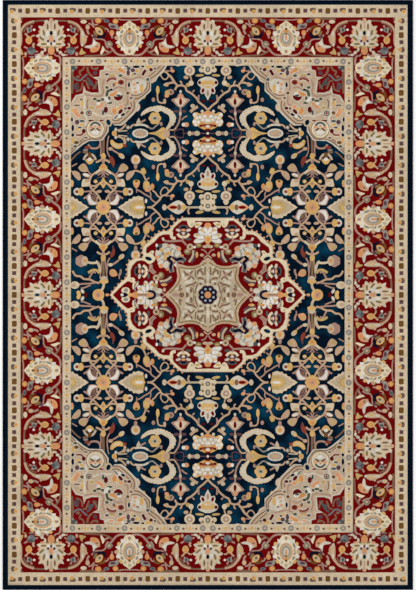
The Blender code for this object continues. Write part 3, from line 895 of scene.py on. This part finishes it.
def inner_guard():
    """Grey rosettes and gold dots by turns, with small dots between them."""
    m = facets("cream", (533, 0, 566, 0, *INNER_GUARD, 0, 926, 0, 893, *FIELD))
    for step in range(-1, 10):
        y = step * 97.5
        m += discs("gold", (549, y, 7, 6.5), "brown", (550, y + 25, 5, 5), (550, y + 73, 5, 5),
                   "tan", (549, y + 13, 4.5, 3), (549, y + 85, 4.5, 3))
        if y < 860:
            m += guard_rosette(549, y + 49)
    for step in range(5):
        x = step * 101.5 + 70
        m += discs("gold", (x, 910, 6.5, 7), "brown", (x + 25, 911, 5, 5), (x - 25, 911, 5, 5))
        m += guard_rosette(x + 51, 909) + discs("tan", (x + 13, 909, 3, 4.5), (x - 13, 909, 3, 4.5))
    return m + guard_rosette(19.5, 909)


def guard_rosette(x, y):
    return rosette("grey", x, y, 12, 6, 0.08) + discs("beige", (x, y, 4, 4))


def square(colour, x, y, half):
    return facets(colour, (x - half, y - half, x + half, y - half, x + half, y + half, x - half, y + half))


def side_cell():
    """One repeat of the outer guard along a side: a block, two squares and a bud."""
    m = facets("umber", (744, -9, 748, -11.5, 759, -11.5, 763, -9, 763, 9, 759, 11.5, 748, 11.5, 744, 9))
    for y in (-27.5, 27.5):
        m += square("brown", 754, y, 8) + square("plum", 754, y, 6)
    bud = blobs("brown", (751, -9, 760, -11, 767, -6, 765, 8, 758, 10, 751, 6))
    bud += discs("slate", (760, -3, 4, 5), "gold", (748, 0, 8, 7), "orange", (748, 0, 5, 5))
    return m + place(bud, 0, 56.2)


def end_cell():
    """One repeat of the outer guard along an end."""
    m = facets("umber", (-9, 1098, -6, 1095, 6, 1095, 9, 1098, 9, 1114, 6, 1117, -6, 1117, -9, 1114))
    for x in (-29.2, 29.2):
        m += square("brown", x, 1107, 8) + square("plum", x, 1107, 6)
    bud = blobs("brown", (-11, 1116, 10, 1117, 10, 1106, 2, 1102, -10, 1104))
    bud += discs("slate", (-3, 1112, 5, 4), "gold", (3, 1103, 8, 8), "orange", (3, 1103, 5, 5))
    return m + place(bud, 58.5, 0)


def outer_guard():
    """The cream guard with a row of cells along the side and along the end."""
    m = band_base("cream", *MAIN_BORDER)
    for step in range(10):
        m += place(side_cell(), 0, step * 112.4)
    m += facets("cream", (729, 1086, 778, 1086, *OUTER_GUARD, 729, 1130))
    for step in range(7):
        m += place(end_cell(), step * 116.9, 0)
    return m


def border_marks():
    """The bands from the inner guard out to the navy edge."""
    return main_border() + inner_guard() + outer_guard() + band_base("midnight", *OUTER_GUARD)


# ---- the pile ----
WIDTH = 1.60
LENGTH = 2.30
PILE_BOTTOM = 0.0033
PILE_TOP = 0.0110
UNEVEN_ALLOWANCE = 0.00030
UNEVEN_HEIGHT = 0.00018
RIM_DROP = 0.0016
RIM_LEAN = 3          # how far in the tufts lean
MESH_STEP = 16        # spacing of the loose points that let the pile's height vary
SAME_POINT = 0.1      # points of an outline nearer than this count once
HALO = 3.5            # dark ground showing round each mark of the field


def corner_of(inner, outer):
    """A quarter of a rectangular band between two half sizes."""
    return [(inner[0], 0), (outer[0], 0), outer, (0, outer[1]), (0, inner[1]), inner]


ZONES = {
    "pile_field": [(0, 0), (FIELD[0], 0), FIELD, (0, FIELD[1])],
    "pile_inner_guard": corner_of(FIELD, INNER_GUARD),
    "pile_main_border": corner_of(INNER_GUARD, MAIN_BORDER),
    "pile_outer_guard": corner_of(MAIN_BORDER, OUTER_GUARD),
    "pile_edge_band": corner_of(OUTER_GUARD, PILE_RIM),
    "pile_corner": CORNER_PIECE + [FIELD],
    "pile_corner_star": CORNER_STAR + [FIELD],
    "pile_medallion": MEDALLION,
    "pile_medallion_star": MEDALLION_STAR,
}
SLOTS = {
    "pile_field": "navy_pile", "pile_inner_guard": "cream_pile", "pile_main_border": "red_pile",
    "pile_outer_guard": "cream_pile", "pile_edge_band": "navy_pile", "pile_corner": "ivory_pile",
    "pile_corner_star": "red_pile", "pile_medallion": "red_pile", "pile_medallion_star": "sand_pile",
}
CORNERS = {"ne": (1, 1), "nw": (-1, 1), "se": (1, -1), "sw": (-1, -1)}


def rug_marks():
    """All marks of the quarter, from the ground up."""
    above = mirror(vine() + near_cross() + spindle(), y=BAND)
    m = facets("navy", (0, 0, BEYOND[0], 0, *BEYOND, 0, BEYOND[1]))
    m += haloed(field_marks() + above + band_marks(), "midnight", HALO) + corner_marks() + border_marks()
    return m + medallion() + star()


def quarter_pattern():
    """The quarter cut into triangles: points, and for each triangle its corners, its zone and its yarn."""
    quarter = [(0, 0), (PILE_RIM[0], 0), PILE_RIM, (0, PILE_RIM[1])]
    zones = list(ZONES)
    marks = rug_marks()
    points, faces = [], []
    for outline in [quarter] + list(ZONES.values()) + [outline for _, outline in marks]:
        outline = [p for i, p in enumerate(outline) if math.dist(p, outline[i - 1]) > SAME_POINT]
        if twice_area(outline) < 0:
            outline = outline[::-1]
        faces.append(list(range(len(points), len(points) + len(outline))))
        points += outline
    for i in range(1, int(PILE_RIM[0] / MESH_STEP)):
        for j in range(1, int(PILE_RIM[1] / MESH_STEP)):
            points.append(((i + 0.5 * (j % 2)) * MESH_STEP, j * MESH_STEP))
    points, _, triangles, _, _, sources = delaunay_2d_cdt([Vector(p) for p in points], [], faces, 1, 1e-3)
    kept = []
    for triangle, source in zip(triangles, sources):
        if 0 in source:
            zone = max(s for s in source if s <= len(zones))
            mark = max(s for s in source if s > len(zones))
            kept.append((triangle, zones[zone - 1], marks[mark - len(zones) - 1][0]))
    return points, kept


def height_at(x, y):
    """The top of the pile: the tufts are not all one length, and lean outwards at the rug's edge."""
    uneven = noise.noise(Vector((x * 0.035, y * 0.035, 0)))
    uneven += 0.6 * noise.noise(Vector((x * 0.11, y * 0.11, 7)))
    edge = max(0.0, 1.0 + max(abs(x) - PILE_RIM[0], abs(y) - PILE_RIM[1]) / RIM_LEAN)
    return PILE_TOP - UNEVEN_ALLOWANCE + UNEVEN_HEIGHT * uneven - RIM_DROP * edge ** 2


def outline_of(triangles):
    """The loop of point numbers round a set of triangles."""
    sides = {(a, b) for t in triangles for a, b in zip(t, t[1:] + t[:1])}
    follows = {a: b for a, b in sides if (b, a) not in sides}
    loop = [min(follows)]
    while len(loop) < len(follows):
        loop.append(follows[loop[-1]])
    return loop


def under_side(triangles, points):
    """Few triangles over the same outline, facing down."""
    loop = outline_of(triangles)
    around = [list(range(len(loop)))]
    _, _, flat, numbers, _, _ = delaunay_2d_cdt([points[i] for i in loop], [], around, 1, 1e-5)
    return [[loop[numbers[i][0]] for i in reversed(corners)] for corners in flat]


def add_object(name, verts, faces, materials, smooth_faces, choice=None):
    """A mesh object. smooth_faces is how many faces, from the first, are shaded smooth."""
    mesh = bpy.data.meshes.new(name)
    mesh.from_pydata(verts, [], faces)
    for material in materials:
        mesh.materials.append(material)
    if choice:
        mesh.polygons.foreach_set("material_index", choice)
    mesh.polygons.foreach_set("use_smooth", [i < smooth_faces for i in range(len(faces))])
    made = bpy.data.objects.new(name, mesh)
    bpy.context.scene.collection.objects.link(made)
    return made


def pile_piece(name, slot_name, triangles, points, corners):
    """One solid of pile from the pattern's triangles, mirrored into each corner (x sign, y sign)."""
    index, verts, top, yarns, rest, sides = {}, [], [], [], [], {}

    def vertex(x, y, low):
        key = (round(x * 1e3), round(y * 1e3), low)
        if key not in index:
            index[key] = len(verts)
            height = PILE_BOTTOM if low else height_at(x, y)
            verts.append((x * MILLIMETRE, y * MILLIMETRE, height))
        return index[key]

    under = under_side([t for t, _ in triangles], points)
    for sx, sy in corners:
        order = sx * sy
        for triangle, yarn_name in triangles:
            places = [(sx * points[i].x, sy * points[i].y) for i in triangle][::order]
            top.append([vertex(x, y, False) for x, y in places])
            yarns.append(yarn_name)
            for a, b in zip(places, places[1:] + places[:1]):
                sides[(vertex(*a, False), vertex(*b, False))] = (a, b, yarn_name)
        for triangle in under:
            rest.append([vertex(sx * points[i].x, sy * points[i].y, True) for i in triangle][::order])
    yarns += [slot_name.removesuffix("_pile")] * len(rest)
    for (i, j), (a, b, yarn_name) in sides.items():
        if (j, i) not in sides:
            rest.append([j, i, vertex(*a, True), vertex(*b, True)])
            yarns.append(yarn_name)
    used = sorted(set(yarns))
    choice = [used.index(y) for y in yarns]
    piece = add_object(name, verts, top + rest, [YARN_MATERIALS[y] for y in used], len(top), choice)
    lay_bake_map(piece.data, len(top))
    piece.data.validate()
    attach(piece, "root")
    return piece


def lay_bake_map(mesh, top_count):
    """A flat map for the top. The sides and the bottom go in a small square at its corner."""
    layer = mesh.uv_layers.new(name="OFBake")
    xs = [v.co.x for v in mesh.vertices]
    ys = [v.co.y for v in mesh.vertices]
    low = (min(xs), min(ys))
    size = (max(xs) - low[0], max(ys) - low[1])
    for polygon in mesh.polygons:
        start, scale = (0.012, 0.985) if polygon.index < top_count else (0.001, 0.008)
        for loop in polygon.loop_indices:
            co = mesh.vertices[mesh.loops[loop].vertex_index].co
            u, v = (co.x - low[0]) / size[0], (co.y - low[1]) / size[1]
            layer.data[loop].uv = (start + scale * u, start + scale * v)


# ---- materials ----
def linear(rgb):
    """A colour from 0 to 255 in each channel, as the shader needs it."""
    return tuple(v / 255 / 12.92 if v / 255 <= 0.04045 else ((v / 255 + 0.055) / 1.055) ** 2.4 for v in rgb)


class Nodes:
    """A material, with short ways to add and join its nodes."""

    def __init__(self, name):
        self.material = bpy.data.materials.new(name)
        self.material.use_nodes = True
        self.tree = self.material.node_tree
        self.shader = self.tree.nodes["Principled BSDF"]
        self.where = None

    def add(self, kind, **values):
        node = self.tree.nodes.new("ShaderNode" + kind)
        for key, value in values.items():
            if hasattr(node, key):
                setattr(node, key, value)
            else:
                node.inputs[key.replace("_", " ")].default_value = value
        return node

    def join(self, source, target):
        self.tree.links.new(source, target)

    def texture(self, kind, **values):
        """A texture fixed to the object."""
        if self.where is None:
            self.where = self.add("TexCoord").outputs["Object"]
        node = self.add("Tex" + kind, **values)
        self.join(self.where, node.inputs["Vector"])
        return node

    def noise(self, scale, detail):
        return self.texture("Noise", Scale=scale, Detail=detail).outputs["Fac"]

    def math(self, operation, a, b):
        node = self.add("Math", operation=operation)
        for socket, value in zip(node.inputs, (a, b)):
            if isinstance(value, float):
                socket.default_value = value
            else:
                self.join(value, socket)
        return node.outputs[0]

    def spread(self, value, low, high, **limits):
        """A 0 to 1 value carried to low to high."""
        node = self.add("MapRange", To_Min=low, To_Max=high, **limits)
        self.join(value, node.inputs["Value"])
        return node.outputs[0]

    def product(self, first, *others):
        for other in others:
            first = self.math("MULTIPLY", first, other)
        return first

    def finish(self, colour, value, relief, strength, depth, **settings):
        """The colour, its light and dark places, the relief and the shader's own values."""
        paint = self.add("HueSaturation")
        if isinstance(colour, tuple):
            paint.inputs["Color"].default_value = (*colour, 1.0)
        else:
            self.join(colour, paint.inputs["Color"])
        self.join(value, paint.inputs["Value"])
        self.join(paint.outputs[0], self.shader.inputs["Base Color"])
        bump = self.add("Bump", Strength=strength, Distance=depth)
        self.join(relief, bump.inputs["Height"])
        self.join(bump.outputs[0], self.shader.inputs["Normal"])
        for key, setting in settings.items():
            self.shader.inputs[key.replace("_", " ")].default_value = setting
        return self.material


def patches(n, colour, second):
    """Two dyes of one yarn, the second in cloudy patches a few centimetres across."""
    share = n.spread(n.noise(14.0, 3.0), 0.0, 1.0, From_Min=0.45, From_Max=0.76)
    mix = n.add("Mix", data_type="RGBA")
    mix.inputs[6].default_value = (*colour, 1.0)
    mix.inputs[7].default_value = (*second, 1.0)
    n.join(share, mix.inputs[0])
    return mix.outputs[2]


def tufted(name, colour, second=None):
    """Cut pile of one yarn: rows of tufts, each a little lighter or darker and painted darker at its edges as
    shade between the tufts, over slow changes of dye and smaller patches that are partly traffic wear and
    partly painted shade of the pile's lay.
    """
    n = Nodes(name)
    tufts = n.texture("Voronoi", Scale=420.0, Randomness=0.55)
    fibres = n.noise(1500.0, 2.0)
    single = n.add("SeparateColor")
    n.join(tufts.outputs["Color"], single.inputs[0])
    value = n.product(
        n.spread(single.outputs[0], 0.84, 1.16), n.spread(fibres, 0.86, 1.14),
        # the noise at 45 gives patches a few centimetres across, partly traffic wear and partly painted shade
        # of the pile's lay; the noise at 7 is the slow change of dye
        n.spread(n.noise(45.0, 3.0), 0.82, 1.18), n.spread(n.noise(7.0, 2.0), 0.84, 1.16),
        # each tuft darker towards its edge: painted shade between the tufts
        n.spread(tufts.outputs["Distance"], 1.08, 0.80))
    hollows = n.math("MULTIPLY", tufts.outputs["Distance"], -1.0)
    relief = n.math("ADD", hollows, n.math("MULTIPLY", fibres, 0.35))
    dye = patches(n, colour, second) if second else colour
    return n.finish(dye, value, relief, 0.55, 0.0009, Roughness=0.92, Specular_IOR_Level=0.03,
                    Sheen_Weight=0.02, Sheen_Roughness=0.5)


def wrapped(name, colour):
    """Serging yarn: fine twisted strands across each rib."""
    n = Nodes(name)
    strands = n.noise(1400.0, 3.0)
    value = n.product(n.spread(strands, 0.7, 1.5), n.spread(n.noise(60.0, 2.0), 0.75, 1.3))
    return n.finish(colour, value, strands, 0.5, 0.0004, Roughness=0.9, Specular_IOR_Level=0.03)


def woven(name, colour, threads, roughness=0.9):
    """A plain weave seen as crossing threads, with painted shade darkening the gaps between them."""
    n = Nodes(name)
    warp = n.texture("Wave", bands_direction="X", Scale=threads, Distortion=0.6, Detail=1.0)
    weft = n.texture("Wave", bands_direction="Y", Scale=threads * 0.8, Distortion=0.6, Detail=1.0)
    weave = n.product(warp.outputs["Fac"], weft.outputs["Fac"])
    # darker where the weave's relief is low: painted shade between the threads
    value = n.product(n.spread(weave, 0.55, 1.15), n.spread(n.noise(90.0, 4.0), 0.7, 1.3))
    return n.finish(colour, value, weave, 0.6, 0.0006, Roughness=roughness)


TEAL = linear((4, 66, 92))
YARN_MATERIALS = {
    name: tufted(f"pile_{name}", linear(rgb), TEAL if name == "navy" else None) for name, rgb in YARNS.items()
}


def make_pile():
    """Every zone in one piece, but the corner pieces and their stars in four."""
    points, triangles = quarter_pattern()
    by_zone = {}
    for triangle, zone, yarn_name in triangles:
        by_zone.setdefault(zone, []).append((triangle, yarn_name))
    made = []
    for zone, chosen in by_zone.items():
        pieces = {"": list(CORNERS.values())}
        if zone.startswith("pile_corner"):
            pieces = {f"_{side}": [signs] for side, signs in CORNERS.items()}
        for ending, corners in pieces.items():
            piece = pile_piece(f"tufts_{zone[5:]}{ending}", SLOTS[zone], chosen, points, corners)
            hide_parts(zone + ending)
            made.append(piece)
    return made


# ---- edges ----
GAP = 0.0003
SERGING_WIDTH = 0.0090
SERGING_HEIGHT = 0.0072
SERGING_INNER_HEIGHT = 0.0050
SERGING_WALL = 0.0014
FILLER_RADIUS = 0.0017
CORNER_ROUNDING = 0.0020
BACKCOAT_THICKNESS = 0.0010
FILLER_INSET = SERGING_WALL + GAP + FILLER_RADIUS
FILLER_HEIGHT = BACKCOAT_THICKNESS + GAP + FILLER_RADIUS
MITRE_REACH = 0.03
WRAP_PITCH = 0.0030
WRAP_STEPS = 4
WRAP_RELIEF = 0.00045
WRAP_SLANT = 0.8


def arc(centre, radius, start, end, steps):
    angles = [start + (end - start) * i / steps for i in range(steps + 1)]
    return [(centre[0] - radius[0] * math.cos(a), centre[1] + radius[1] * math.sin(a)) for a in angles]


def serging_section():
    """(inward, height, share of the relief, share of the slant) round the wrap's C-shaped section."""
    shoulder = SERGING_HEIGHT - CORNER_ROUNDING - FILLER_RADIUS
    low = arc((CORNER_ROUNDING, CORNER_ROUNDING), (CORNER_ROUNDING,) * 2, -math.pi / 2, 0, 2)
    crest = FILLER_INSET + GAP
    crown = arc((crest, shoulder), (crest, SERGING_HEIGHT - shoulder), 0, math.pi / 2, 5)
    outside = low + crown + [(SERGING_WIDTH, SERGING_INNER_HEIGHT)]
    cavity = FILLER_RADIUS + GAP
    lip = math.asin((PILE_BOTTOM - FILLER_HEIGHT) / cavity)
    inside = [(SERGING_WIDTH, PILE_BOTTOM)]
    inside += arc((FILLER_INSET, FILLER_HEIGHT), (cavity,) * 2, math.pi - lip, -math.pi / 2, 5)
    inside += [(SERGING_WIDTH, BACKCOAT_THICKNESS), (SERGING_WIDTH, 0.0)]
    section = [(*p, 1.0, i / (len(outside) - 1)) for i, p in enumerate(outside)]
    return section + [(*p, 0.0, 0.0) for p in inside]


def make_serging(name, turn, half_run, half_across, material):
    """One side's wrap: the section swept along the side, ribbed, and mitred at both ends."""
    section = serging_section()
    middle = (FILLER_INSET + GAP, FILLER_HEIGHT)
    reach = half_run - GAP / math.sqrt(2)
    rings = int(2 * reach / WRAP_PITCH) * WRAP_STEPS
    verts, faces = [], []
    for r in range(rings + 1):
        along = -reach + 2 * reach * r / rings
        mitre = max(0.0, (abs(along) - (half_run - MITRE_REACH)) / MITRE_REACH)
        for inward, height, relief, slant in section:
            phase = (along / WRAP_PITCH + WRAP_SLANT * slant) % 1.0
            sunk = relief * WRAP_RELIEF * abs(2 * phase - 1) ** 2
            di, dh = middle[0] - inward, middle[1] - height
            length = math.hypot(di, dh)
            i, h = inward + di / length * sunk, height + dh / length * sunk
            y = math.copysign(abs(along) - inward * min(mitre, 1.0), along)
            verts.append((half_across - i, y, max(h, 0.0)))
    n = len(section)
    for r in range(rings):
        for k in range(n):
            a, b = r * n + k, r * n + (k + 1) % n
            faces.append((b, a, a + n, b + n))
    ends = [tuple(range(n)), tuple(rings * n + k for k in reversed(range(n)))]
    piece = add_object(name, verts, faces + ends, [material], len(faces))
    piece.rotation_euler.z = turn
    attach(piece, "root")
    return piece


def make_edges():
    yarn = wrapped("serging_wrap", linear((4, 15, 30)))
    for side, turn, half_run, half_across in (("right", 0.0, LENGTH / 2, WIDTH / 2),
                                              ("head", math.pi / 2, WIDTH / 2, LENGTH / 2),
                                              ("left", math.pi, LENGTH / 2, WIDTH / 2),
                                              ("foot", -math.pi / 2, WIDTH / 2, LENGTH / 2)):
        piece = make_serging(f"wrap_{side}", turn, half_run, half_across, yarn)
        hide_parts(f"serging_{side}")


# ---- ground ----
GROUND_HALF = (0.7946, 1.1446)
GROUND_HEIGHTS = (0.0013, 0.0030)
LATEX_HALF = (0.7907, 1.1407)
LATEX_HEIGHTS = (0.0, 0.0010)
CELL = 0.012
JUTE = (0.42, 0.30, 0.17)


def make_layer(name, half, heights, relief, material):
    """A thin sheet with rounded rims and a slight unevenness."""
    columns, rows = round(2 * half[0] / CELL), round(2 * half[1] / CELL)
    bottom, top = heights
    verts, faces = [], []
    for side in (0, 1):
        for j in range(rows + 1):
            for i in range(columns + 1):
                x = -half[0] + 2 * half[0] * i / columns
                y = -half[1] + 2 * half[1] * j / rows
                inset = relief * (0.5 + 0.5 * noise.noise(Vector((x * 60, y * 60, side * 9.0))))
                if i in (0, columns) or j in (0, rows):
                    inset = (top - bottom) * 0.3
                verts.append((x, y, top - inset if side else bottom + inset))
    width = columns + 1
    sheet = width * (rows + 1)
    for j in range(rows):
        for i in range(columns):
            a = j * width + i
            faces.append((a, a + width, a + width + 1, a + 1))
            faces.append((a + sheet, a + sheet + 1, a + sheet + width + 1, a + sheet + width))
    rim = [(i, i + 1) for i in range(columns)]
    rim += [(a + 1, a) for a in range(rows * width, rows * width + columns)]
    rim += [(a + width, a) for a in range(0, rows * width, width)]
    rim += [(a, a + width) for a in range(columns, rows * width, width)]
    faces += [(a, b, b + sheet, a + sheet) for a, b in rim]
    piece = add_object(name, verts, faces, [material], len(faces))
    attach(piece, "root")
    return piece


def make_backing():
    """The ground cloth, the latex film under it, and the filler cords' look."""
    ground = make_layer("ground_cloth", GROUND_HALF, GROUND_HEIGHTS, 0.0001, woven("jute_weave", JUTE, 130.0))
    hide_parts("woven_ground")
    latex = woven("latex_film", (0.55, 0.50, 0.42), 110.0, 0.55)
    coat = make_layer("back_film", LATEX_HALF, LATEX_HEIGHTS, 0.00012, latex)
    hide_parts("latex_backcoat")
    filler = woven("filler_cord", JUTE, 300.0)
    for side in ("right", "head", "left", "foot"):
        for slot in bpy.data.objects[f"edge_filler_{side}"].material_slots:
            slot.material = filler


# ---- studio ----
FLOOR_REACH = 12.0
FLOOR_HEIGHT = -0.0006
CAMERA_DISTANCE = 7.0
VIEW_LENGTH = 2.2978
WHITE = (1.0, 1.0, 1.0, 1.0)


def make_floor():
    """White paper that the light makes even."""
    signs = ((-1, -1), (1, -1), (1, 1), (-1, 1))
    outline = [(sx * FLOOR_REACH, sy * FLOOR_REACH, FLOOR_HEIGHT) for sx, sy in signs]
    paper = Nodes("floor_paper")
    for key, value in (("Base Color", (0.92, 0.92, 0.92, 1.0)), ("Roughness", 0.9), ("Emission Color", WHITE),
                       ("Emission Strength", 0.11)):
        paper.shader.inputs[key].default_value = value
    add_object("floor", outline, [(0, 1, 2, 3)], [paper.material], 0)


def make_lights():
    world = bpy.data.worlds.new("studio")
    world.use_nodes = True
    world.node_tree.nodes["Background"].inputs["Color"].default_value = WHITE
    world.node_tree.nodes["Background"].inputs["Strength"].default_value = 0.47
    bpy.context.scene.world = world
    for name, place_at, size, power in (("key", (-2.2, 2.0, 4.2), 3.0, 116.0),
                                        ("fill", (2.6, -2.2, 4.0), 3.5, 72.0)):
        light = bpy.data.lights.new(name, "AREA")
        light.shape = "SQUARE"
        light.size = size
        light.energy = power
        lamp = bpy.data.objects.new(name, light)
        lamp.location = place_at
        lamp.rotation_euler = (-Vector(place_at)).to_track_quat("-Z", "Y").to_euler()
        bpy.context.scene.collection.objects.link(lamp)
    bpy.context.scene.view_settings.view_transform = "Standard"
    bpy.context.scene.view_settings.look = "None"


def make_camera():
    """Straight above, with the view just wider than the rug and as long."""
    data = bpy.data.cameras.new("camera")
    data.sensor_width = 36.0
    data.lens = data.sensor_width * (CAMERA_DISTANCE - PILE_TOP) / VIEW_LENGTH
    camera = bpy.data.objects.new("camera", data)
    camera.location = (0.00078, -0.00049, CAMERA_DISTANCE)
    bpy.context.scene.collection.objects.link(camera)
    bpy.context.scene.camera = camera


make_camera()
pile_pieces = make_pile()
make_edges()
make_backing()
make_floor()
make_lights()
